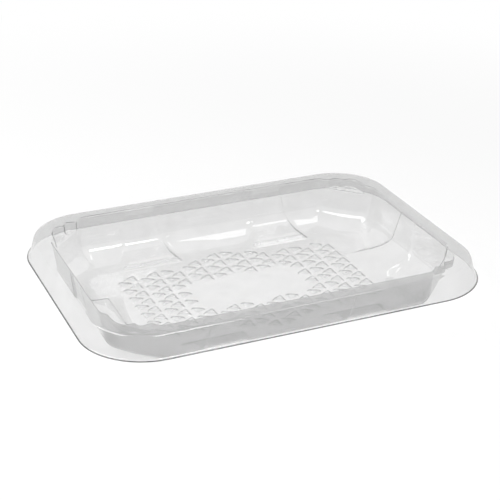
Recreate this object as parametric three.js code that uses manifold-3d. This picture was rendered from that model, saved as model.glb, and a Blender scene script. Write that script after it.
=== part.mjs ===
// A clear thermoformed food tray: one thin sheet drawn into a rim with a skirt, ribbed side
// walls, scalloped corners and a flat floor with a raised pattern of small triangles.
// Sizes are in millimetres and angles in degrees. X is the long way, Y the short way and +Z up.
// The origin is in the middle of the floor's underside, which the tray stands on.

import * as THREE from "three";
import { mergeVertices } from "three/addons/utils/BufferGeometryUtils.js";
import Module from "manifold-3d";

// Sheet and overall height
const sheetThickness = 0.4;
const trayHeight = 28.4;

// Rim: the flat flange round the top, without the skirt
const rimLength = 221.4;
const rimBreadth = 157.7;
const rimCornerRadius = 31.5;
const rimWidth = 8.3;
const rimEdgeRadius = 1.2;
const wellEdgeRadius = 0.8;
const wellEdgeMiddle = { depth: 0.3, inset: 0.25 };

// Skirt and the trim lip at its foot
const skirtHeight = 12.5;
const skirtFlare = 3.2;
const lipWidth = 1.5;
const lipDrop = 0.6;

// Side walls and the bowl curve that carries them into the floor
const wallDraft = 9;
const wallDepth = 16.5;
const upperBowlRadius = 8.7;
const bowlBreakAngle = 45;
const floorCornerRadius = 13;

// Corners: a flat facet cut off each one, and above its shelf lobes that stand out from the cut.
// A mark is a cusp or a crest: its place over the corner from end to side, and how far it bulges.
const scallopMarks = [
  { t: 0.167, bulge: 0 },
  { t: 0.458, bulge: 6.9 },
  { t: 0.583, bulge: 3.2 },
  { t: 0.667, bulge: 4.7 },
  { t: 0.771, bulge: 0 },
];
const shelfDepth = 5;
const shelfFall = 0.4;
const facetCut = 24.3;
const facetDraft = 6;
const facetEndRadius = 6;
const facetEndShare = 0.125;

// Wall ribs: two on each long side, one on each end
const longRibOffset = 41.4;
const longRibHalfWidths = { top: 9.4, wall: 12, foot: 20.4 };
const endRibHalfWidths = { top: 7.7, wall: 11.5, foot: 20.3 };
const ribEdgeShare = 0.17;
const ribHeight = 0.8;
const ribWallDepth = 17;
const ribHeelRadius = 7.3;
const ribRampAngle = 12.5;
const ribRampLength = 11.1;
const ribNoseAngle = 50;

// Floor pattern: triangles in strips across the floor, which point left and right in turn
const stripCount = 10;
const stripPitch = 13.8;
const bumpPitch = 10;
const bumpEdge = 8.8;
const bumpReach = 8.6;
const bumpSetback = 5.65;
const bumpHeight = 1.4;
const bumpCornerCut = 0.17;
const bumpTopShare = 0.66;
const bumpRootShare = 0.5;
const fieldHalfBreadth = 40.5;
const bayHalfLength = 20.5;
const bayHalfBreadth = 49.6;
const bareHalfLength = 30;
const bareHalfBreadth = 15;

// Steps of the curves
const cornerRunSteps = [2, 1, 3, 2, 2, 2, 1, 2];
const upperBowlSteps = 2;
const lowerBowlSteps = 4;
const ribHeelSteps = 2;
const ribNoseSteps = 3;
const mergeDistance = 1e-4;

const floorLevel = sheetThickness;
const wellDepth = trayHeight - floorLevel;
const wellHalfLength = rimLength / 2 - rimWidth;
const wellHalfBreadth = rimBreadth / 2 - rimWidth;

const radians = THREE.MathUtils.degToRad;
const lerp = THREE.MathUtils.lerp;

// How far a wall of the given draft leans inwards over a depth.
function lean(draft, depth) {
  return Math.tan(radians(draft)) * depth;
}

// Inward run and depth along an arc, from one slope to another, both measured from level.
function arcStep(radius, fromSlope, toSlope) {
  return {
    run: radius * (Math.sin(radians(fromSlope)) - Math.sin(radians(toSlope))),
    depth: radius * (Math.cos(radians(toSlope)) - Math.cos(radians(fromSlope))),
  };
}

// The plain wall in section, from the rim's inner edge down to the floor, as inset and depth.
function plainWallSection() {
  const wallSlope = 90 - wallDraft;
  const points = [];
  let inset = lean(wallDraft, wallDepth);
  let depth = wallDepth;
  points.push({ inset, depth });
  for (let i = 1; i <= upperBowlSteps; i++) {
    const slope = lerp(wallSlope, bowlBreakAngle, i / upperBowlSteps);
    const step = arcStep(upperBowlRadius, wallSlope, slope);
    points.push({ inset: inset + step.run, depth: depth + step.depth });
  }
  ({ inset, depth } = points.at(-1));
  const lowerBowlRadius = (wellDepth - depth) / (1 - Math.cos(radians(bowlBreakAngle)));
  for (let i = 1; i <= lowerBowlSteps; i++) {
    const slope = lerp(bowlBreakAngle, 0, i / lowerBowlSteps);
    const step = arcStep(lowerBowlRadius, bowlBreakAngle, slope);
    points.push({ inset: inset + step.run, depth: depth + step.depth });
  }
  return points;
}

// A rib's face in section, with as many points: the wall, the heel's arc, a straight ramp and
// the nose, an arc that bends down from the ramp's slope to the nose's.
function ribSection() {
  const wallSlope = 90 - wallDraft;
  const points = [];
  const inset = lean(wallDraft, ribWallDepth) + ribHeight;
  points.push({ inset, depth: ribWallDepth });
  for (let i = 1; i <= ribHeelSteps; i++) {
    const slope = lerp(wallSlope, ribRampAngle, i / ribHeelSteps);
    const step = arcStep(ribHeelRadius, wallSlope, slope);
    points.push({ inset: inset + step.run, depth: ribWallDepth + step.depth });
  }
  const heel = points.at(-1);
  const rampEnd = {
    inset: heel.inset + ribRampLength,
    depth: heel.depth + lean(ribRampAngle, ribRampLength),
  };
  points.push(rampEnd);
  const bend = Math.cos(radians(ribRampAngle)) - Math.cos(radians(ribNoseAngle));
  const noseRadius = (wellDepth - rampEnd.depth) / bend;
  for (let i = 1; i <= ribNoseSteps; i++) {
    const slope = lerp(ribRampAngle, ribNoseAngle, i / ribNoseSteps);
    const step = arcStep(-noseRadius, ribRampAngle, slope);
    points.push({ inset: rampEnd.inset + step.run, depth: rampEnd.depth + step.depth });
  }
  return points;
}

const wallSection = plainWallSection();
const ribFaceSection = ribSection();
const floorInset = wallSection.at(-1).inset;

// The places over a corner, from end to side: the facet's arcs, the marks and steps between them.
function cornerShares() {
  const marks = [0, facetEndShare, ...scallopMarks.map(({ t }) => t), 1 - facetEndShare, 1];
  return [0].concat(cornerRunSteps.flatMap((steps, run) => {
    return Array.from({ length: steps }, (_, i) => lerp(marks[run], marks[run + 1], (i + 1) / steps));
  }));
}

// The outline's stations over one quarter, from the middle of the +X end to the +Y side.
// A rib station's t runs over the rib's width, and a corner station's t from end to side.
function quarterStations() {
  const face = 1 - ribEdgeShare;
  return [
    ...[0, face, 1].map((t) => ({ part: "end", t })),
    ...cornerShares().map((t) => ({ part: "corner", t })),
    ...[1, face, 0, -face, -1].map((t) => ({ part: "side", t })),
  ];
}

// A point on the corner arc of a rounded rectangle.
function roundCorner(halfLength, halfBreadth, radius, t) {
  const angle = (t * Math.PI) / 2;
  return [
    halfLength - radius + radius * Math.cos(angle),
    halfBreadth - radius + radius * Math.sin(angle),
  ];
}

// A point on a corner cut off at 45 degrees, with an arc at each end of the cut.
function cutCorner(halfLength, halfBreadth, cut, t) {
  const tangent = facetEndRadius * Math.tan(Math.PI / 8);
  const arcPoint = (u) => {
    const angle = (u * Math.PI) / 4;
    return {
      in: facetEndRadius * (1 - Math.cos(angle)),
      along: facetEndRadius * Math.sin(angle) - tangent,
    };
  };
  if (t <= facetEndShare) {
    const p = arcPoint(t / facetEndShare);
    return [halfLength - p.in, halfBreadth - cut + p.along];
  }
  if (t >= 1 - facetEndShare) {
    const p = arcPoint((1 - t) / facetEndShare);
    return [halfLength - cut + p.along, halfBreadth - p.in];
  }
  const share = (t - facetEndShare) / (1 - 2 * facetEndShare);
  const end = tangent * Math.SQRT1_2;
  const s = lerp(end, cut - end, share);
  return [halfLength - s, halfBreadth - cut + s];
}

// How far the corner is cut off at a depth, so that the facet leans by its own draft.
function cutAt(depth) {
  const down = depth - shelfDepth;
  return facetCut + Math.SQRT2 * lean(facetDraft, down) - 2 * lean(wallDraft, down);
}

// How far the lobes stand out from the cut: from a cusp to a crest, a quarter of a sine.
function scallopBulge(t) {
  const run = scallopMarks.findIndex((mark) => mark.t >= t - mergeDistance);
  if (run < 1) return 0;
  const [from, to] = [scallopMarks[run - 1], scallopMarks[run]];
  const s = (t - from.t) / (to.t - from.t);
  const rising = to.bulge > from.bulge ? s : 1 - s;
  const low = Math.min(from.bulge, to.bulge);
  const high = Math.max(from.bulge, to.bulge);
  return lerp(low, high, Math.sin((rising * Math.PI) / 2));
}

// A point on the scalloped corner: the cut corner, moved out by the lobes' bulge.
function scallopCorner(halfLength, halfBreadth, cut, t) {
  const [x, y] = cutCorner(halfLength, halfBreadth, cut, t);
  const out = scallopBulge(t) * Math.SQRT1_2;
  return [x + out, y + out];
}

// One ring of the sheet's upper face over a quarter. level gives inset and z on the plain wall,
// ribInset and ribZ on the ribs' faces, how far the ribs have widened, and the corner's shape.
function quarterRing(stations, level) {
  const halfLength = wellHalfLength - level.inset;
  const halfBreadth = wellHalfBreadth - level.inset;
  return stations.map(({ part, t }) => {
    if (part === "corner") return [...level.corner(halfLength, halfBreadth, t), level.z];
    const onRib = Math.abs(t) < 1;
    const inset = onRib ? level.ribInset : level.inset;
    const z = onRib ? level.ribZ : level.z;
    if (part === "end") return [wellHalfLength - inset, t * level.endRibHalf, z];
    return [longRibOffset + t * level.longRibHalf, wellHalfBreadth - inset, z];
  });
}

// Mirrors a quarter ring into the whole outline, anticlockwise from above.
function fullRing(quarter) {
  const flip = (points, sx, sy) => points.map(([x, y, z]) => [sx * x, sy * y, z]);
  const backwards = [...quarter].reverse();
  return [
    ...quarter,
    ...flip(backwards, -1, 1),
    ...flip(quarter.slice(1), -1, -1),
    ...flip(backwards.slice(0, -1), 1, -1),
  ];
}

// A rim level, outside the ribs' reach: outset is measured from the rim's own outline.
function rimLevel(outset, z) {
  return {
    inset: -rimWidth - outset,
    z,
    corner: (x, y, t) => roundCorner(x, y, rimCornerRadius + outset, t),
  };
}

// The levels of the rim, from the trim edge up the skirt and over to the flat flange.
function rimLevels() {
  const skirtFoot = trayHeight - skirtHeight;
  const arc = (share) => {
    const angle = share * (Math.PI / 2);
    return rimLevel(
      rimEdgeRadius * (Math.cos(angle) - 1),
      trayHeight - rimEdgeRadius * (1 - Math.sin(angle)),
    );
  };
  return [
    rimLevel(skirtFlare + lipWidth, skirtFoot),
    rimLevel(skirtFlare, skirtFoot + lipDrop),
    arc(0),
    arc(0.5),
    arc(1),
  ];
}

// The levels of the wall band above the shelf and of the shelf itself. The first ones round the
// well's edge, where the wall still stands back by the extra.
function bandLevels() {
  const band = (depth, extra, ribShare) => {
    const inset = lean(wallDraft, depth) - extra;
    return {
      inset,
      ribInset: inset + ribShare * ribHeight,
      z: trayHeight - depth,
      depth,
      corner: (x, y, t) => scallopCorner(x, y, cutAt(depth), t),
    };
  };
  return [
    band(0, wellEdgeRadius, 0),
    band(wellEdgeRadius * wellEdgeMiddle.depth, wellEdgeRadius * wellEdgeMiddle.inset, 0.25),
    band(wellEdgeRadius, 0, 0.5),
    band(shelfDepth, 0, 0.7),
    {
      ...band(shelfDepth + shelfFall, 0, 0.75),
      corner: (x, y, t) => cutCorner(x, y, facetCut, t),
    },
  ];
}

// The levels below the shelf: the wall's foot, then the bowl curve down to the floor. The
// corner's facet runs into the floor's round corner by the same curve.
function bowlLevels() {
  const wallFoot = wallSection[0];
  const footCut = cutAt(wallFoot.depth);
  const footLength = wellHalfLength - wallFoot.inset;
  const footBreadth = wellHalfBreadth - wallFoot.inset;
  const floorLength = wellHalfLength - floorInset;
  const floorBreadth = wellHalfBreadth - floorInset;
  return wallSection.map(({ inset, depth }, i) => {
    const share = (inset - wallFoot.inset) / (floorInset - wallFoot.inset);
    return {
      inset,
      ribInset: ribFaceSection[i].inset,
      z: trayHeight - depth,
      ribZ: trayHeight - ribFaceSection[i].depth,
      depth,
      bowlShare: share,
      corner: (x, y, t) => {
        const from = cutCorner(footLength, footBreadth, footCut, t);
        const to = roundCorner(floorLength, floorBreadth, floorCornerRadius, t);
        return [lerp(from[0], to[0], share), lerp(from[1], to[1], share)];
      },
    };
  });
}

// Fills in what a level leaves out, and how wide the ribs are there.
function completeLevel(level) {
  const depth = level.depth ?? 0;
  const wallShare = Math.min(depth / wallDepth, 1);
  const ribHalf = ({ top, wall, foot }) => {
    return lerp(top, wall, wallShare) + (foot - wall) * (level.bowlShare ?? 0);
  };
  return {
    ribInset: level.inset,
    ribZ: level.z,
    ...level,
    longRibHalf: ribHalf(longRibHalfWidths),
    endRibHalf: ribHalf(endRibHalfWidths),
  };
}

// The sheet without its pattern, as one closed surface: rings of the upper face joined from the
// trim edge to the floor, the same face moved down by the sheet's thickness, and the trim edge.
function sheetGeometry() {
  const stations = quarterStations();
  const levels = [...rimLevels(), ...bandLevels(), ...bowlLevels()].map(completeLevel);
  const rings = levels.map((level) => fullRing(quarterRing(stations, level)));
  const around = rings[0].length;
  const upperCount = rings.length * around + 1;
  const upper = [...rings.flat(), [0, 0, floorLevel]];
  const faces = [];
  for (let ring = 0; ring + 1 < rings.length; ring++) {
    for (let i = 0; i < around; i++) {
      const next = (i + 1) % around;
      const [a, b] = [ring * around + i, ring * around + next];
      const [c, d] = [a + around, b + around];
      faces.push([a, b, d], [a, d, c]);
    }
  }
  const floorStart = (rings.length - 1) * around;
  for (let i = 0; i < around; i++) {
    faces.push([floorStart + i, floorStart + ((i + 1) % around), upperCount - 1]);
  }

  const face = new THREE.BufferGeometry();
  face.setAttribute("position", new THREE.Float32BufferAttribute(upper.flat(), 3));
  face.setIndex(faces.flat());
  face.computeVertexNormals();
  const normals = face.getAttribute("normal");
  const lower = upper.map(([x, y, z], i) => {
    if (i >= floorStart) return [x, y, z - sheetThickness];
    return [
      x - sheetThickness * normals.getX(i),
      y - sheetThickness * normals.getY(i),
      z - sheetThickness * normals.getZ(i),
    ];
  });

  const lowerFaces = faces.map(([a, b, c]) => [a + upperCount, c + upperCount, b + upperCount]);
  const trimEdge = [];
  for (let i = 0; i < around; i++) {
    const next = (i + 1) % around;
    trimEdge.push([i, upperCount + i, upperCount + next], [i, upperCount + next, next]);
  }
  const geometry = new THREE.BufferGeometry();
  const positions = [...upper, ...lower].flat();
  geometry.setAttribute("position", new THREE.Float32BufferAttribute(positions, 3));
  geometry.setIndex([...faces, ...lowerFaces, ...trimEdge].flat());
  return geometry;
}

// A bump's outline: a triangle about its own centre that points along +X or -X, of a share of
// its full size, with each corner cut back by a share of the sides.
function bumpOutline({ x, y, direction }, size, cornerCut) {
  const back = -bumpReach / 3;
  const corners = [
    [back, -bumpEdge / 2],
    [back + bumpReach, 0],
    [back, bumpEdge / 2],
  ];
  const outline = corners.flatMap((corner, i) => {
    if (cornerCut === 0) return [corner];
    const neighbours = [corners[(i + 2) % 3], corners[(i + 1) % 3]];
    return neighbours.map((next) => [0, 1].map((k) => lerp(corner[k], next[k], cornerCut)));
  });
  const placed = outline.map(([px, py]) => [x + direction * size * px, y + size * py]);
  return direction > 0 ? placed : placed.reverse();
}

// A closed solid between two outlines of as many points, one above the other.
function taperedSolid(lowOutline, highOutline, lowZ, highZ) {
  const count = lowOutline.length;
  const points = [
    ...lowOutline.map(([x, y]) => [x, y, lowZ]),
    ...highOutline.map(([x, y]) => [x, y, highZ]),
  ];
  const faces = [];
  for (let i = 0; i < count; i++) {
    const next = (i + 1) % count;
    faces.push([i, next, count + next], [i, count + next, count + i]);
    if (i > 0 && next > 0) {
      faces.push([0, next, i], [count, count + i, count + next]);
    }
  }
  const geometry = new THREE.BufferGeometry();
  geometry.setAttribute("position", new THREE.Float32BufferAttribute(points.flat(), 3));
  geometry.setIndex(faces.flat());
  return geometry;
}

// The places of the bumps: in each strip the odd places point one way and the even ones the
// other. Those that leave the pattern's field or reach into the bare middle are left out.
function bumpPlaces() {
  const places = [];
  const halfStrips = stripCount / 2;
  const reach = Math.ceil(bayHalfBreadth / bumpPitch) * 2;
  for (let strip = 0; strip < stripCount; strip++) {
    const stripX = (strip - (stripCount - 1) / 2) * stripPitch;
    const side = strip < halfStrips ? -1 : 1;
    const fromMiddle = side < 0 ? halfStrips - 1 - strip : strip - halfStrips;
    const flipped = fromMiddle === 1 || fromMiddle === 2;
    for (let halfStep = -reach; halfStep <= reach; halfStep++) {
      const odd = halfStep % 2 !== 0;
      const direction = odd === flipped ? -side : side;
      const y = (halfStep * bumpPitch) / 2;
      const backX = stripX - direction * bumpSetback;
      const x = backX + (direction * bumpReach) / 3;
      const tip = [backX + direction * bumpReach, y];
      const backCorners = [-1, 1].map((end) => [backX, y + (end * bumpEdge) / 2]);
      if ([tip, ...backCorners].every(onPattern)) places.push({ x, y, direction });
    }
  }
  return places;
}

// Whether a corner of a bump is on the patterned part of the floor.
function onPattern([x, y]) {
  const breadth = Math.abs(x) < bayHalfLength ? bayHalfBreadth : fieldHalfBreadth;
  const bare = Math.abs(x) < bareHalfLength && Math.abs(y) < bareHalfBreadth;
  return Math.abs(y) <= breadth && !bare;
}

// One bump as a solid that is sunk a little into the floor.
function bumpSolid(place, sunk) {
  const outline = (size) => bumpOutline(place, size, bumpCornerCut);
  return taperedSolid(outline(1), outline(bumpTopShare), floorLevel - sunk, floorLevel + bumpHeight);
}

// The hollow under a bump, smaller all round by the sheet's thickness. Its corners stay sharp.
function hollowSolid(place, sunk) {
  const shrink = (3 * sheetThickness) / bumpReach;
  const outline = (size) => bumpOutline(place, size - shrink, 0);
  return taperedSolid(outline(1 - bumpCornerCut / 3), outline(bumpTopShare), -sunk, bumpHeight);
}

// The finished tray: bumps are joined on top of the floor and their hollows cut from below.
async function trayGeometry() {
  const wasm = await Module();
  wasm.setup();
  const { Manifold, Mesh } = wasm;
  const solidOf = (geometry) => {
    const merged = mergeVertices(geometry, mergeDistance);
    const vertProperties = merged.getAttribute("position").array;
    const triVerts = new Uint32Array(merged.index.array);
    return new Manifold(new Mesh({ numProp: 3, vertProperties, triVerts }));
  };
  const sunk = bumpRootShare * sheetThickness;
  const bumps = [];
  const hollows = [];
  for (const place of bumpPlaces()) {
    bumps.push(solidOf(bumpSolid(place, sunk)));
    hollows.push(solidOf(hollowSolid(place, sunk)));
  }
  const sheet = solidOf(sheetGeometry());
  const tray = sheet.add(Manifold.union(bumps)).subtract(Manifold.union(hollows));
  const { numProp, vertProperties, triVerts } = tray.getMesh();
  const geometry = new THREE.BufferGeometry();
  const vertices = new THREE.InterleavedBuffer(vertProperties, numProp);
  geometry.setAttribute("position", new THREE.InterleavedBufferAttribute(vertices, 3, 0));
  geometry.setIndex(new THREE.BufferAttribute(triVerts, 1));
  return geometry.toNonIndexed();
}

function clearPlastic() {
  return new THREE.MeshStandardMaterial({
    color: 0xe4e7e8,
    roughness: 0.08,
    metalness: 0,
    transparent: true,
    opacity: 0.35,
    flatShading: true,
  });
}

const tray = new THREE.Mesh(await trayGeometry(), clearPlastic());
tray.name = "tray";

const model = new THREE.Group();
model.add(tray);

export default model;
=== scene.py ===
# A clear thermoformed food tray on a white table, seen from its front left corner.
# The tray is one thin sheet: rim and skirt, ribbed walls, scalloped corners and a floor with a
# raised pattern of small triangles. The table, the lamps and the camera are the studio.

import math

import bpy
import numpy as np
from mathutils import Matrix, Vector


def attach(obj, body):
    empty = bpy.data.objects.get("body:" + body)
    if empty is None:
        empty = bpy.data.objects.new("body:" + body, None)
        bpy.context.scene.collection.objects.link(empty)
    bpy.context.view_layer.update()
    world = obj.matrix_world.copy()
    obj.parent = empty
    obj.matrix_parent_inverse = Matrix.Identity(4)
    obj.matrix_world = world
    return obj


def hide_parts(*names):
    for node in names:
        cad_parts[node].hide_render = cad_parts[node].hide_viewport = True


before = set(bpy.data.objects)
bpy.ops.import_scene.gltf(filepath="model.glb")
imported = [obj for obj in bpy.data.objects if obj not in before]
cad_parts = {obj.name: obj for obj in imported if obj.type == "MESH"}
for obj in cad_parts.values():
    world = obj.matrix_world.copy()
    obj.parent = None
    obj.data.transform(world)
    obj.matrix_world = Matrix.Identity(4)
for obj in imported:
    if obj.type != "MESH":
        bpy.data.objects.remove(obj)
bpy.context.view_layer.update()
mm = 0.001
print("frame loaded:", len(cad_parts), "node")

# Lengths in millimetres and angles in degrees. Outsets and insets run from the rim's outline and
# from the well's mouth, depths from the flange's upper face.
tray = {
    "sheet": 0.4,
    "height": 28.4,
    "rimLength": 221.4,
    "rimBreadth": 157.7,
    "rimCorner": 31.5,
    "rimWidth": 8.3,
    "rimEdge": 2.4,          # setback of the rounded outer edge
    "wellEdge": 0.85,        # setback of the rounded inner edge
    "skirtHeight": 12.5,
    "skirtFlare": 3.2,
    "lipWidth": 1.5,
    "lipDrop": 0.3,
    "lipBend": 0.7,          # setback of the bend between skirt and lip
    "skirtMiddle": (0.55, 0.5),   # shares of flare and height, which bow the skirt a little
    "trimEdge": 0.15,        # thickness that the die leaves at the cut edge
    "wallDraft": 9,
    "wallDepth": 16.5,
    "upperBowl": 8.7,        # radius of the curve under the wall
    "bowlBreak": 45,
    "floorCorner": 13,
    "scallops": ((0.167, 0), (0.458, 6.9), (0.583, 3.2), (0.667, 4.7), (0.771, 0)),
    "shelfDepth": 5,
    "shelfFall": 0.4,
    "shelfBends": (0.7, 0.8),     # setbacks of the bends at the shelf's foot and edge
    "ribRises": (0.6, 0.72, 0.75, 1),   # share of the rib's height: half way, shelf, facet, wall's foot
    "facetLevels": (0.34, 0.67),  # where the rings between shelf and wall's foot lie
    "facetCut": 24.3,
    "facetDraft": 6,
    "facetEnd": 6,
    "facetEndShare": 0.125,  # share of a corner's stations that each end's arc takes
    "longRibOffset": 41.4,
    "longRib": (9.4, 12, 20.4),   # half widths at the top, the wall's foot and the floor
    "endRib": (7.7, 11.5, 20.3),
    "ribEdge": 0.11,         # share of a rib's half width that its flank takes
    "ribHeight": 0.8,
    "ribWallDepth": 17,
    "ribHeel": 7.3,
    "rampAngle": 12.5,
    "rampLength": 11.1,
    "noseAngle": 50,         # slope at which a rib's nose meets the floor
}

# The floor's raised triangles, which point left and right in turn along strips across the tray.
pattern = {
    "strips": 10,
    "stripPitch": 13.8,
    "pitch": 10,
    "edge": 8.8,             # side that stands across the tray
    "reach": 8.6,            # from that side to the tip
    "setback": 5.65,         # from the strip's middle to that side
    "height": 1.4,
    "slope": 2.2,            # breadth of the rounded sides
    "cornerRound": 1.6,
    "tipReach": 2.6,         # how far from the tip the rounding starts, in corner rounds
    "tipPull": 0.12,         # how fast it pulls the tip in, per square millimetre
    "placesEachWay": 10,     # places tried along a strip, to each side of its middle
    "half": 78,              # half length of the floor that may carry the pattern
    "levelSlack": 0.05,
    "fieldHalfBreadth": 40.5,
    "bayHalfLength": 20.5,
    "bayHalfBreadth": 49.6,
    "bareHalfLength": 30,
    "bareHalfBreadth": 15,
}

# How finely the sheet is meshed: steps along each stretch of the outline, cells over the floor.
mesh = {
    "endRib": 16,
    "endWall": 8,
    "corner": 48,
    "sideWall": 6,
    "longRib": 28,
    "middleWall": 10,
    "ribEdgeSteps": 5,
    "ribEdgeReach": 1.15,    # the flank's stations run a little past it
    "bowlSteps": (5, 9),     # along the upper and the lower arc of the bowl curve
    "ribSteps": (5, 5, 4),   # along a rib's heel, ramp and nose
    "longestSetback": 0.45,  # share of a stretch that a rounded bend may take
    "floorCells": (196, 132),
    "floorHalf": (69.0, 45.9),
    "bayHalf": 49.0,         # the grid's half breadth between the long ribs
    "bayEnds": (20.6, 23.6),
}


def smooth(u):
    # 3u^2 - 2u^3 between 0 and 1, level outside.
    u = np.clip(u, 0, 1)
    return u * u * (3 - 2 * u)


def lean(draft, depth):
    return math.tan(math.radians(draft)) * depth


# Inward run and depth along an arc of this radius, from one slope to another.
def arcSteps(radius, fromSlope, toSlope, steps):
    slope = np.radians(np.linspace(fromSlope, toSlope, steps + 1)[1:])
    start = math.radians(fromSlope)
    return radius * (math.sin(start) - np.sin(slope)), radius * (np.cos(slope) - math.cos(start))


# The plain wall's section below its foot, as insets and depths: an arc that turns the wall to
# 45 degrees, then a wider one that ends level at the floor.
def plainSection():
    t = tray
    inset, depth = lean(t["wallDraft"], t["wallDepth"]), t["wallDepth"]
    upperSteps, lowerSteps = mesh["bowlSteps"]
    run, fall = arcSteps(t["upperBowl"], 90 - t["wallDraft"], t["bowlBreak"], upperSteps)
    insets, depths = [inset], [depth]
    insets += list(inset + run)
    depths += list(depth + fall)
    rest = t["height"] - t["sheet"] - depths[-1]
    radius = rest / (1 - math.cos(math.radians(t["bowlBreak"])))
    run, fall = arcSteps(radius, t["bowlBreak"], 0, lowerSteps)
    return np.array(insets + list(insets[-1] + run)), np.array(depths + list(depths[-1] + fall))


# A rib's section in as many points: the wall, the heel's arc, a straight ramp and the nose, an arc
# that bends down from the ramp's slope to the nose's.
def ribSection():
    t = tray
    inset = lean(t["wallDraft"], t["ribWallDepth"]) + t["ribHeight"]
    heelSteps, rampSteps, noseSteps = mesh["ribSteps"]
    run, fall = arcSteps(t["ribHeel"], 90 - t["wallDraft"], t["rampAngle"], heelSteps)
    insets = [inset] + list(inset + run)
    depths = [t["ribWallDepth"]] + list(t["ribWallDepth"] + fall)
    ramp = np.linspace(0, 1, rampSteps + 1)[1:] * t["rampLength"]
    insets += list(insets[-1] + ramp)
    depths += list(depths[-1] + lean(t["rampAngle"], ramp))
    rest = t["height"] - t["sheet"] - depths[-1]
    slopes = [math.cos(math.radians(angle)) for angle in (t["rampAngle"], t["noseAngle"])]
    radius = -rest / (slopes[0] - slopes[1])
    run, fall = arcSteps(radius, t["rampAngle"], t["noseAngle"], noseSteps)
    return np.array(insets + list(insets[-1] + run)), np.array(depths + list(depths[-1] + fall))


# The stations of one quarter, from the middle of the +X end to the middle of the +Y side, as rows
# of kind and share. Kinds: 0 end rib, 1 end wall, 2 corner, 3 side wall, 4 long rib, 5 middle wall.
def quarterStations():
    m = mesh
    edge = 1 - np.linspace(0, m["ribEdgeReach"] * tray["ribEdge"], m["ribEdgeSteps"] + 1)
    inner = np.linspace(0, edge[-1], m["endRib"] - m["ribEdgeSteps"] + 1)[:-1]
    halfInner = np.linspace(edge[-1], -edge[-1], m["longRib"] - 2 * m["ribEdgeSteps"] + 1)[1:-1]
    runs = [
        (0, np.concatenate([inner, edge[::-1]])),
        (1, np.linspace(0, 1, m["endWall"] + 1)[1:-1]),
        (2, np.linspace(0, 1, m["corner"] + 1)),
        (3, np.linspace(0, 1, m["sideWall"] + 1)[1:-1]),
        (4, np.concatenate([edge, halfInner, -edge[::-1]])),
        (5, np.linspace(0, 1, m["middleWall"] + 1)[1:]),
    ]
    kind = np.concatenate([np.full(len(share), number) for number, share in runs])
    return kind, np.concatenate([share for _, share in runs])


# The arc of a rounded rectangle's corner.
def roundCorner(halfLength, halfBreadth, radius, share):
    angle = share * math.pi / 2
    return (halfLength - radius + radius * np.cos(angle),
            halfBreadth - radius + radius * np.sin(angle))


# A corner cut off at 45 degrees, with an arc into the wall at each end of the cut.
def cutCorner(halfLength, halfBreadth, cut, share):
    t = tray
    tangent = t["facetEnd"] * math.tan(math.pi / 8)
    fromEnd = np.minimum(share, 1 - share)
    angle = np.clip(fromEnd / t["facetEndShare"], 0, 1) * math.pi / 4
    arcIn = t["facetEnd"] * (1 - np.cos(angle))
    arcAlong = t["facetEnd"] * np.sin(angle) - tangent
    half = cut / 2 - tangent * math.sqrt(0.5)
    straight = np.clip((fromEnd - t["facetEndShare"]) / (0.5 - t["facetEndShare"]), 0, 1) * half
    inward, along = arcIn + straight, cut - arcAlong - straight
    firstHalf = share <= 0.5
    x = halfLength - np.where(firstHalf, inward, along)
    y = halfBreadth - np.where(firstHalf, along, inward)
    return x, y


# How far the corner is cut off at a depth, so that the facet leans by its own draft.
def cutAt(depth):
    t = tray
    down = depth - t["shelfDepth"]
    return t["facetCut"] + math.sqrt(2) * lean(t["facetDraft"], down) - 2 * lean(t["wallDraft"], down)


# The scalloped corner: the cut corner with lobes that stand out from it between the outer marks.
# From a cusp to a crest the bulge follows a quarter of a sine, c + (C - c) sin(pi s / 2).
def scallopCorner(halfLength, halfBreadth, cut, share):
    bulge = np.zeros_like(share)
    for (start, first), (end, last) in zip(tray["scallops"], tray["scallops"][1:]):
        low, high = min(first, last), max(first, last)
        s = np.clip((share - start) / (end - start), 0, 1)
        rising = s if last > first else 1 - s
        here = (share > start) & (share < end + 1e-3)
        bulge = np.where(here, low + (high - low) * np.sin(rising * math.pi / 2), bulge)
    x, y = cutCorner(halfLength, halfBreadth, cut, share)
    return x + bulge * math.sqrt(0.5), y + bulge * math.sqrt(0.5)


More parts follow.
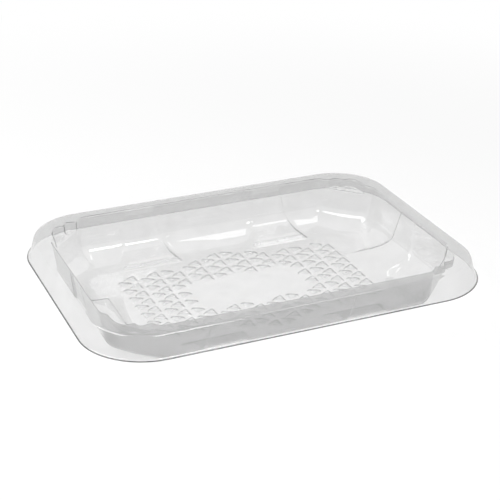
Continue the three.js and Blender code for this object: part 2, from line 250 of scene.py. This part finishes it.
# One ring of the upper face over a quarter. The straight stretches run between the rib's edges
# and the corner's ends, and a rib's face has its own inset and depth, blended in at its edges.
def quarterRing(level):
    t = tray
    kind, share = quarterStations()
    depth, inset = level["depth"], level["inset"]
    ribInset, ribDepth = level.get("ribInset", inset), level.get("ribDepth", depth)
    wallShare = min(max(depth, 0) / t["wallDepth"], 1)
    halfWidth = [
        top + (wall - top) * wallShare + (foot - wall) * level.get("bowlShare", 0)
        for top, wall, foot in (t["endRib"], t["longRib"])
    ]
    halfLength = t["rimLength"] / 2 - t["rimWidth"] - inset
    halfBreadth = t["rimBreadth"] / 2 - t["rimWidth"] - inset
    cornerX, cornerY = level["corner"](halfLength, halfBreadth, share)
    ends = level["corner"](halfLength, halfBreadth, np.array([0.0, 1.0]))
    startY, startX = ends[1][0], ends[0][1]
    fromFlank = (1 - np.abs(share)) / t["ribEdge"] / mesh["ribEdgeReach"]
    onRib = np.where((kind == 0) | (kind == 4), smooth(fromFlank), 0)
    blendInset = inset + (ribInset - inset) * onRib
    z = t["height"] - (depth + (ribDepth - depth) * onRib)
    endX = t["rimLength"] / 2 - t["rimWidth"] - blendInset
    sideY = t["rimBreadth"] / 2 - t["rimWidth"] - blendInset
    ribOut, ribIn = t["longRibOffset"] + halfWidth[1], t["longRibOffset"] - halfWidth[1]
    x = np.select([kind <= 1, kind == 2, kind == 3, kind == 4],
                  [endX, cornerX, startX + (ribOut - startX) * share,
                   t["longRibOffset"] + share * halfWidth[1]], ribIn * (1 - share))
    y = np.select([kind == 0, kind == 1, kind == 2],
                  [share * halfWidth[0], halfWidth[0] + (startY - halfWidth[0]) * share,
                   cornerY], sideY)
    return np.stack([x, y, z], axis=1)


# Mirrors a quarter ring into the whole outline, anticlockwise from above.
def fullRing(quarter):
    back = quarter[::-1]
    return np.concatenate([
        quarter,
        back[1:] * [-1, 1, 1],
        quarter[1:] * [-1, -1, 1],
        back[1:-1] * [1, -1, 1],
    ])


# The control rings, from the trim edge to the floor, each with the setback that its bend is
# rounded by and the steps of that bend.
def controlRings():
    t = tray

    def rim(outset, depth, setback, steps):
        def corner(x, y, share):
            return roundCorner(x, y, t["rimCorner"] + outset, share)
        return dict(inset=-t["rimWidth"] - outset, depth=depth, corner=corner), setback, steps

    def band(depth, rise, setback, steps):
        inset = lean(t["wallDraft"], depth)

        def corner(x, y, share):
            return scallopCorner(x, y, cutAt(depth), share)
        level = dict(inset=inset, depth=depth, ribInset=inset + rise * t["ribHeight"], corner=corner)
        return level, setback, steps

    foot = t["skirtHeight"]
    halfWayRise, shelfRise, facetRise, footRise = t["ribRises"]
    shelfFoot, shelfEdge = t["shelfBends"]
    rings = [
        rim(t["skirtFlare"] + t["lipWidth"], foot, 0, 0),
        rim(t["skirtFlare"], foot - t["lipDrop"], t["lipBend"], 3),
        rim(t["skirtMiddle"][0] * t["skirtFlare"], t["skirtMiddle"][1] * foot, 0, 0),
        rim(0, 0, t["rimEdge"], 6),
        rim(-0.5 * t["rimWidth"], 0, 0, 0),
        band(0, 0, t["wellEdge"], 6),
        band(0.5 * t["shelfDepth"], halfWayRise, 0, 0),
        band(t["shelfDepth"], shelfRise, shelfFoot, 4),
    ]
    facet = band(t["shelfDepth"] + t["shelfFall"], facetRise, shelfEdge, 4)
    facet[0]["corner"] = lambda x, y, share: cutCorner(x, y, t["facetCut"], share)
    rings.append(facet)

    insets, depths = plainSection()
    ribInsets, ribDepths = ribSection()
    mouth = (t["rimLength"] / 2 - t["rimWidth"], t["rimBreadth"] / 2 - t["rimWidth"])
    for between in t["facetLevels"]:
        depth = t["shelfDepth"] + between * (depths[0] - t["shelfDepth"])
        rise = facetRise + (footRise - facetRise) * between
        inset = lean(t["wallDraft"], depth)
        rings.append((dict(
            inset=inset, depth=depth, ribInset=inset + rise * t["ribHeight"],
            corner=lambda x, y, share, cut=cutAt(depth): cutCorner(x, y, cut, share)), 0, 0))
    for i, (inset, depth) in enumerate(zip(insets, depths)):
        bowlShare = (inset - insets[0]) / (insets[-1] - insets[0])

        def corner(x, y, share, bowlShare=bowlShare):
            start = cutCorner(mouth[0] - insets[0], mouth[1] - insets[0], cutAt(depths[0]), share)
            end = roundCorner(mouth[0] - insets[-1], mouth[1] - insets[-1], t["floorCorner"], share)
            return tuple(a + (b - a) * bowlShare for a, b in zip(start, end))
        rings.append((dict(inset=inset, depth=depth, ribInset=ribInsets[i], ribDepth=ribDepths[i],
                           bowlShare=bowlShare, corner=corner), 0, 0))
    return rings


# All rings: straight from one control ring to the next, every bend with a setback replaced by a
# quadratic curve, (1-u)^2 A + 2u(1-u) B + u^2 C, from the setback before it to the one after.
def sheetRings():
    levels = controlRings()
    rings = [fullRing(quarterRing(level)) for level, _, _ in levels]
    out = []
    for i, (_, setback, steps) in enumerate(levels):
        if not steps:
            out.append(rings[i])
            continue
        before, after = rings[i - 1] - rings[i], rings[i + 1] - rings[i]
        cuts = []
        for arm in (before, after):
            length = np.linalg.norm(arm, axis=1, keepdims=True)
            share = setback / np.maximum(length, 1e-6)
            cuts.append(rings[i] + arm * np.minimum(share, mesh["longestSetback"]))
        for u in np.linspace(0, 1, steps + 1):
            out.append((1 - u) ** 2 * cuts[0] + 2 * u * (1 - u) * rings[i] + u * u * cuts[1])
    return np.array(out)


# The places of the triangles: middle of the upright side, height across and direction. Odd and
# even places of a strip point opposite ways, and the two halves of the tray mirror each other.
def trianglePlaces():
    p = pattern
    strip = np.arange(p["strips"])
    half = p["strips"] // 2
    stripX = (strip - (p["strips"] - 1) / 2) * p["stripPitch"]
    side = np.where(strip < half, -1, 1)
    fromMiddle = np.where(strip < half, half - 1 - strip, strip - half)
    flipped = (fromMiddle == 1) | (fromMiddle == 2)
    step = np.arange(-p["placesEachWay"], p["placesEachWay"] + 1)
    odd = step % 2 == 1
    direction = np.where(odd[None, :] == flipped[:, None], -side[:, None], side[:, None])
    backX = stripX[:, None] - direction * p["setback"]
    y = np.broadcast_to(step * p["pitch"] / 2, backX.shape)
    kept = np.ones(backX.shape, bool)
    for x, across in ((backX + direction * p["reach"], y),
                      (backX, y - p["edge"] / 2), (backX, y + p["edge"] / 2)):
        inBay = np.abs(x) < p["bayHalfLength"]
        breadth = np.where(inBay, p["bayHalfBreadth"], p["fieldHalfBreadth"])
        bare = (np.abs(x) < p["bareHalfLength"]) & (np.abs(across) < p["bareHalfBreadth"])
        kept &= (np.abs(across) <= breadth) & ~bare
    return backX[kept], y[kept], direction[kept]


# Height of the pattern at points of the floor: inside each triangle the distance t to its nearest
# side, as a share of the slope and with rounded corners, gives a quarter circle, sqrt(1 - (1-t)^2).
def patternHeight(x, y):
    p = pattern
    height = np.zeros_like(x)
    slant = math.hypot(p["reach"], p["edge"] / 2)
    for backX, backY, direction in zip(*trianglePlaces()):
        near = np.abs(x - backX - direction * p["reach"] / 2) < p["reach"]
        near &= np.abs(y - backY) < p["edge"]
        along = (x[near] - backX) * direction
        across = np.abs(y[near] - backY)
        fromBack = along
        fromSide = (p["edge"] / 2 * (p["reach"] - along) - across * p["reach"]) / slant
        r = p["cornerRound"]
        both = np.maximum(r - fromBack, 0) ** 2 + np.maximum(r - fromSide, 0) ** 2
        inside = np.minimum(np.minimum(fromBack, fromSide), r - np.sqrt(both))
        tip = np.maximum(along - (p["reach"] - p["tipReach"] * r), 0)
        inside = np.minimum(inside, fromSide - p["tipPull"] * tip ** 2)
        fromTop = 1 - np.clip(inside / p["slope"], 0, 1)
        height[near] = np.maximum(height[near], p["height"] * np.sqrt(1 - fromTop ** 2))
    return height


# The floor as a grid of points, with its long edges moved out between the long ribs.
def floorGrid():
    m = mesh
    cells = m["floorCells"]
    x = np.linspace(-m["floorHalf"][0], m["floorHalf"][0], cells[0] + 1)
    widen = 1 - smooth((np.abs(x) - m["bayEnds"][0]) / (m["bayEnds"][1] - m["bayEnds"][0]))
    half = m["floorHalf"][1] + (m["bayHalf"] - m["floorHalf"][1]) * widen
    gridX = np.repeat(x, cells[1] + 1)
    gridY = (half[:, None] * np.linspace(-1, 1, cells[1] + 1)[None, :]).ravel()
    return np.stack([gridX, gridY, np.full_like(gridX, tray["sheet"])], axis=1)


# Place along the floor grid's edge, 0 to 4, of the point of that edge which is nearest.
def edgePlace(points):
    lengthHalf, breadthHalf = mesh["floorHalf"]
    u = np.clip(points[:, 0] / lengthHalf, -1, 1)
    v = np.clip(points[:, 1] / breadthHalf, -1, 1)
    reach = np.maximum(np.abs(u), np.abs(v))
    u, v = u / reach, v / reach
    return np.select([(u >= 1) & (v < 1), (v >= 1) & (u > -1), (u <= -1) & (v > -1)],
                     [(v + 1) / 2, 1 + (1 - u) / 2, 2 + (1 - v) / 2], 3 + (1 + u) / 2)


# Triangles between two closed loops, by taking the vertices of both in the order of their places.
def zipLoops(inner, innerPlace, outer, outerPlace):
    inner = inner[np.argsort(innerPlace, kind="stable")]
    outer = outer[np.argsort(outerPlace, kind="stable")]
    places = np.concatenate([np.sort(innerPlace), np.sort(outerPlace)])
    isOuter = np.concatenate([np.zeros(len(inner), int), np.ones(len(outer), int)])
    isOuter = isOuter[np.argsort(places, kind="stable")]
    outerCount, innerCount = np.cumsum(isOuter), np.cumsum(1 - isOuter)
    at, held = outer[(outerCount - 1) % len(outer)], inner[(innerCount - 1) % len(inner)]
    nextOuter, nextInner = np.roll(at, -1), np.roll(held, -1)
    third = np.where(np.roll(isOuter, -1) == 1, nextOuter, nextInner)
    return np.stack([held, at, third], axis=1)


def cornerNormals(points, faces):
    # The mean of the normals of the faces at a vertex, each weighted by its area.
    a, b, c = (points[faces[:, k]] for k in range(3))
    cross = np.cross(b - a, c - a)
    normals = np.zeros_like(points)
    for k in range(3):
        np.add.at(normals, faces[:, k], cross)
    return normals / np.linalg.norm(normals, axis=1, keepdims=True)


# The sheet's upper face: the rings, a strip of triangles from the last ring to the floor grid,
# and the grid, all at the floor's level plus the pattern's height.
def upperFace():
    rings = sheetRings()
    count, around = rings.shape[:2]
    index = np.arange(count * around).reshape(count, around)
    a, b = index[:-1], np.roll(index[:-1], -1, axis=1)
    c, d = index[1:], np.roll(index[1:], -1, axis=1)
    ringFaces = np.concatenate([
        np.stack([a, b, d], -1).reshape(-1, 3), np.stack([a, d, c], -1).reshape(-1, 3)])
    ringPoints = rings.reshape(-1, 3)

    grid = floorGrid()
    nx, ny = mesh["floorCells"][0] + 1, mesh["floorCells"][1] + 1
    cell = count * around + np.arange(nx * ny).reshape(nx, ny)
    p, q, r, s = cell[:-1, :-1], cell[1:, :-1], cell[1:, 1:], cell[:-1, 1:]
    gridFaces = np.concatenate([
        np.stack([p, q, r], -1).reshape(-1, 3), np.stack([p, r, s], -1).reshape(-1, 3)])

    loop = np.concatenate([cell[-1, :-1], cell[:0:-1, -1], cell[0, :0:-1], cell[:-1, 0]])
    loopPlace = np.concatenate([
        np.linspace(0, 1, ny)[:-1], 1 + np.linspace(0, 1, nx)[:-1],
        2 + np.linspace(0, 1, ny)[:-1], 3 + np.linspace(0, 1, nx)[:-1]])
    outer = index[-1]
    stripFaces = zipLoops(loop, loopPlace, outer, edgePlace(ringPoints[outer]))

    points = np.concatenate([ringPoints, grid])
    faces = np.concatenate([ringFaces, stripFaces, gridFaces])
    flat = np.abs(points[:, 0]) < pattern["half"]
    flat &= points[:, 2] < tray["sheet"] + pattern["levelSlack"]
    points[flat, 2] += patternHeight(points[flat, 0], points[flat, 1])
    return points, faces, index[0]


# The closed sheet: the upper face, the same face moved in along its normals by the sheet's
# thickness, and the cut edge that joins them at the foot of the skirt.
def trayMesh():
    upper, faces, trimLoop = upperFace()
    thickness = np.full((len(upper), 1), tray["sheet"])
    thickness[trimLoop] = tray["trimEdge"]
    lower = upper - thickness * cornerNormals(upper, faces)
    lower[:, 2] = np.maximum(lower[:, 2], 0)
    count = len(upper)
    here, ahead = trimLoop, np.roll(trimLoop, -1)
    trimEdge = np.concatenate([
        np.stack([here, here + count, ahead + count], -1),
        np.stack([here, ahead + count, ahead], -1)])
    isSmooth = np.concatenate([np.ones(2 * len(faces), bool), np.zeros(len(trimEdge), bool)])
    return (np.concatenate([upper, lower]) * mm,
            np.concatenate([faces, faces[:, ::-1] + count, trimEdge]), isSmooth)


# A mesh object from points and triangles. Its place is in its vertices.
def meshObject(name, points, faces, material, isSmooth):
    data = bpy.data.meshes.new(name)
    data.vertices.add(len(points))
    data.vertices.foreach_set("co", np.ascontiguousarray(points, np.float32).ravel())
    data.loops.add(faces.size)
    data.loops.foreach_set("vertex_index", np.ascontiguousarray(faces, np.int32).ravel())
    data.polygons.add(len(faces))
    data.polygons.foreach_set("loop_start", np.arange(0, faces.size, faces.shape[1], dtype=np.int32))
    data.polygons.foreach_set("use_smooth", isSmooth)
    data.materials.append(material)
    data.update(calc_edges=True)
    data.validate()
    item = bpy.data.objects.new(name, data)
    bpy.context.scene.collection.objects.link(item)
    return item


# The linear colour of an sRGB hex string.
def linearColour(hexText):
    value = np.array([int(hexText[i:i + 2], 16) for i in (0, 2, 4)]) / 255
    linear = np.where(value <= 0.04045, value / 12.92, ((value + 0.055) / 1.055) ** 2.4)
    return (*[float(v) for v in linear], 1.0)


# Adds a node of a type, sets its sockets and properties, and returns it.
def addNode(tree, kind, inputs=None, **properties):
    node = tree.nodes.new(kind)
    for name, value in properties.items():
        setattr(node, name, value)
    for name, value in (inputs or {}).items():
        if isinstance(value, bpy.types.NodeSocket):
            tree.links.new(value, node.inputs[name])
        else:
            node.inputs[name].default_value = value
    return node


def newMaterial(name):
    material = bpy.data.materials.new(name)
    material.use_nodes = True
    material.node_tree.nodes.clear()
    return material, material.node_tree


clearSheet = {
    "colour": "e2e2e2",      # the faint grey that light takes on at each face of the sheet
    "clearness": (0.975, 0.945),   # the rest is a faint milky haze, which comes and goes
    "hazeRange": (0.35, 0.65),     # noise values between which it goes from one to the other
    "ior": 1.575,
    "roughness": 0.02,
    "shadow": "fafafa",      # tint of the light that passes into its shadow
    "hazeScale": 14,         # millimetres from one hazy spot to the next
    "waveScale": 22,         # millimetres from wave to wave of the drawn sheet
    "waveHeight": 0.012,
    "highlightHaze": 0.26,           # painted highlight: a milky haze that lightens the raised triangles
    "highlightHazeFrom": 0.8,        # millimetres above the table where that haze starts,
    "highlightHazeFull": 1.5,        # where it is full
    "highlightHazeEnd": 2.2,         # and where it fades, to be gone at twice this height
    "highlightHazeHalf": (71, 50),   # half length and breadth of the patterned floor
}


# Thermoformed clear rPET: a bright sheet with a slight grey cast, glossy on both sides. Each
# face that light passes darkens it a little, so walls read against the floor behind them. Grazing
# faces mirror the studio, and folds and edges darken as they bend the light. A patchy haze and
# slow waves from the drawing keep it from being perfect. A milky haze on the raised triangles and
# the long ribs' noses is painted highlight: it lightens them in place of the lamps' soft highlights.
def clearPlastic():
    c = clearSheet
    material, tree = newMaterial("thermoformed clear rPET")
    place = addNode(tree, "ShaderNodeTexCoord").outputs["Object"]
    haze = addNode(tree, "ShaderNodeTexNoise", {
        "Vector": place, "Scale": 1 / (c["hazeScale"] * mm), "Detail": 3.0})
    clearness = addNode(tree, "ShaderNodeMapRange", {
        "Value": haze.outputs["Fac"],
        "From Min": c["hazeRange"][0], "From Max": c["hazeRange"][1],
        "To Min": c["clearness"][0], "To Max": c["clearness"][1]}, interpolation_type="SMOOTHSTEP")
    axes = addNode(tree, "ShaderNodeSeparateXYZ", {0: place})
    height = axes.outputs["Z"]
    # Painted highlight: a milky haze, set by height above the table and kept to the patterned floor,
    # lightens the raised triangles and the long ribs' noses.
    raised = addNode(tree, "ShaderNodeMapRange", {
        "Value": height, "From Min": c["highlightHazeFrom"] * mm, "From Max": c["highlightHazeFull"] * mm,
        "To Min": 0.0, "To Max": c["highlightHaze"]})
    above = addNode(tree, "ShaderNodeMapRange", {
        "Value": height, "From Min": c["highlightHazeEnd"] * mm, "From Max": 2 * c["highlightHazeEnd"] * mm,
        "To Min": 1.0, "To Max": 0.0})
    highlightHaze = addNode(tree, "ShaderNodeMath", {
        0: raised.outputs[0], 1: above.outputs[0]}, operation="MULTIPLY")
    for axis, half in zip("XY", c["highlightHazeHalf"]):
        beside = addNode(tree, "ShaderNodeMath", {0: axes.outputs[axis]}, operation="ABSOLUTE")
        inField = addNode(tree, "ShaderNodeMath", {
            0: beside.outputs[0], 1: half * mm}, operation="LESS_THAN")
        highlightHaze = addNode(tree, "ShaderNodeMath", {
            0: highlightHaze.outputs[0], 1: inField.outputs[0]}, operation="MULTIPLY")
    clearness = addNode(tree, "ShaderNodeMath", {
        0: clearness.outputs[0], 1: highlightHaze.outputs[0]}, operation="SUBTRACT")
    waves = addNode(tree, "ShaderNodeTexNoise", {
        "Vector": place, "Scale": 1 / (c["waveScale"] * mm), "Detail": 1.0})
    drawn = addNode(tree, "ShaderNodeBump", {
        "Height": waves.outputs["Fac"], "Strength": 1.0, "Distance": c["waveHeight"] * mm})
    surface = addNode(tree, "ShaderNodeBsdfPrincipled", {
        "Base Color": linearColour(c["colour"]),
        "Roughness": c["roughness"],
        "IOR": c["ior"],
        "Transmission Weight": clearness.outputs[0],
        "Normal": drawn.outputs[0],
    })
    shadow = addNode(tree, "ShaderNodeBsdfTransparent", {"Color": linearColour(c["shadow"])})
    path = addNode(tree, "ShaderNodeLightPath")
    mixed = addNode(tree, "ShaderNodeMixShader", {0: path.outputs["Is Shadow Ray"]})
    tree.links.new(surface.outputs[0], mixed.inputs[1])
    tree.links.new(shadow.outputs[0], mixed.inputs[2])
    addNode(tree, "ShaderNodeOutputMaterial", {"Surface": mixed.outputs[0]})
    return material


studio = {
    "tableHalf": 3.0,        # metres
    "tableDrop": 0.0001,     # metres below the tray, so that the two never share a plane
    "tableColour": "c6c6c6",
    "tableGlow": 0.44,       # what the table shows by itself to the eye, also in glass
    "litRadius": (0.22, 0.6),  # metres, where the lit table passes into plain white
    "worldColour": 0.56,     # the light all round, which the eye doesn't see
}


# 1 for the rays by which the eye sees the background: straight, in gloss and through glass.
def seenByEye(tree, path):
    inGlass = addNode(tree, "ShaderNodeMath", {
        0: path.outputs["Is Glossy Ray"], 1: path.outputs["Is Transmission Ray"]}, operation="MAXIMUM")
    seen = addNode(tree, "ShaderNodeMath", {
        0: inGlass.outputs[0], 1: path.outputs["Is Camera Ray"]}, operation="MAXIMUM")
    return seen.outputs[0]


# The pale table: matt, with a glow that turns it white to the eye, also in gloss and through
# glass. It still takes the tray's shadow. Farther out it is plain white to the eye.
def tableMaterial():
    s = studio
    material, tree = newMaterial("pale matt table")
    matt = addNode(tree, "ShaderNodeBsdfDiffuse", {"Color": linearColour(s["tableColour"])})
    path = addNode(tree, "ShaderNodeLightPath")
    seen = seenByEye(tree, path)
    place = addNode(tree, "ShaderNodeTexCoord")
    glow = addNode(tree, "ShaderNodeMath", {0: seen, 1: s["tableGlow"]}, operation="MULTIPLY")
    radius = addNode(tree, "ShaderNodeVectorMath", {0: place.outputs["Object"]}, operation="LENGTH")
    far = addNode(tree, "ShaderNodeMapRange", {
        "Value": radius.outputs["Value"], "From Min": s["litRadius"][0], "From Max": s["litRadius"][1],
        "To Min": 0.0, "To Max": 1.0}, interpolation_type="SMOOTHSTEP")
    farSeen = addNode(tree, "ShaderNodeMath", {0: far.outputs[0], 1: seen}, operation="MULTIPLY")
    light = addNode(tree, "ShaderNodeEmission", {"Color": (1, 1, 1, 1), "Strength": glow.outputs[0]})
    near = addNode(tree, "ShaderNodeAddShader")
    tree.links.new(matt.outputs[0], near.inputs[0])
    tree.links.new(light.outputs[0], near.inputs[1])
    white = addNode(tree, "ShaderNodeEmission", {"Color": (1, 1, 1, 1), "Strength": 1.0})
    both = addNode(tree, "ShaderNodeMixShader", {0: farSeen.outputs[0]})
    tree.links.new(near.outputs[0], both.inputs[1])
    tree.links.new(white.outputs[0], both.inputs[2])
    addNode(tree, "ShaderNodeOutputMaterial", {"Surface": both.outputs[0]})
    return material


def makeTable():
    half = studio["tableHalf"]
    drop = -studio["tableDrop"]
    points = np.array([
        [-half, -half, drop], [half, -half, drop], [half, half, drop], [-half, half, drop]])
    table = meshObject("table", points, np.array([[0, 1, 2, 3]]), tableMaterial(), [False])


# A softbox that faces the tray from a bearing (clockwise from the tray's short way, in degrees),
# a height in degrees and a distance in metres. A face of brightness 1 would show as white.
def softBox(name, bearing, height, distance, size, brightness):
    data = bpy.data.lights.new(name, "AREA")
    data.shape = "RECTANGLE"
    data.size, data.size_y = size
    data.energy = brightness * math.pi * size[0] * size[1]
    lamp = bpy.data.objects.new(name, data)
    around, up = math.radians(bearing), math.radians(height)
    towards = Vector((math.sin(around) * math.cos(up), math.cos(around) * math.cos(up), math.sin(up)))
    lamp.location = distance * towards
    lamp.rotation_euler = (-towards).to_track_quat("-Z", "Y").to_euler()
    bpy.context.scene.collection.objects.link(lamp)
    return lamp


# The world lights everything evenly, and shows white to the eye, also in gloss and glass.
def makeWorld():
    world = bpy.data.worlds.new("studio")
    world.use_nodes = True
    tree = world.node_tree
    tree.nodes.clear()
    path = addNode(tree, "ShaderNodeLightPath")
    grey = studio["worldColour"]
    around = addNode(tree, "ShaderNodeBackground", {"Color": (grey, grey, grey, 1)})
    white = addNode(tree, "ShaderNodeBackground", {"Color": (1, 1, 1, 1)})
    mixed = addNode(tree, "ShaderNodeMixShader", {0: seenByEye(tree, path)})
    tree.links.new(around.outputs[0], mixed.inputs[1])
    tree.links.new(white.outputs[0], mixed.inputs[2])
    addNode(tree, "ShaderNodeOutputWorld", {"Surface": mixed.outputs[0]})
    bpy.context.scene.world = world


softBoxes = {
    "left softbox": dict(bearing=-80, height=49, distance=1.2, size=(1.22, 0.46), brightness=3.6),
    "right softbox": dict(bearing=170, height=47, distance=1.2, size=(0.42, 0.36), brightness=6.0),
    "ceiling panel": dict(bearing=98, height=66.5, distance=1.2, size=(0.42, 0.19), brightness=2.2),
}

view = {
    "azimuth": 23.535,       # the camera looks this far to the right of the tray's short way
    "elevation": 25.692,
    "roll": 0.378,
    "place": (-271.14, -623.29, 351.25),
    "lens": 96.045,
    "sensor": 36.0,
    "clip": (0.01, 20),      # nearest and farthest metres that the camera sees
}


# The camera, from its place and its three angles.
def makeCamera():
    azimuth, elevation, roll = (math.radians(view[k]) for k in ("azimuth", "elevation", "roll"))
    ahead = Vector((math.sin(azimuth) * math.cos(elevation), math.cos(azimuth) * math.cos(elevation),
                    -math.sin(elevation)))
    right = Vector((math.cos(azimuth), -math.sin(azimuth), 0))
    up = right.cross(ahead)
    rolledRight = math.cos(roll) * right + math.sin(roll) * up
    rolledUp = -math.sin(roll) * right + math.cos(roll) * up
    data = bpy.data.cameras.new("camera")
    data.lens, data.sensor_width = view["lens"], view["sensor"]
    data.clip_start, data.clip_end = view["clip"]
    camera = bpy.data.objects.new("camera", data)
    turn = Matrix((rolledRight, rolledUp, -ahead)).transposed().to_4x4()
    camera.matrix_world = Matrix.Translation(Vector(view["place"]) * mm) @ turn
    bpy.context.scene.collection.objects.link(camera)
    bpy.context.scene.camera = camera


points, faces, isSmooth = trayMesh()
sheet = meshObject("tray_sheet", points, faces, clearPlastic(), isSmooth)
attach(sheet, "root")
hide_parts("tray")
print("tray made:", len(faces), "triangles")

makeTable()
makeWorld()
for name, lamp in softBoxes.items():
    softBox(name, **lamp)
makeCamera()
bpy.context.scene.view_settings.view_transform = "Standard"
print("studio made")
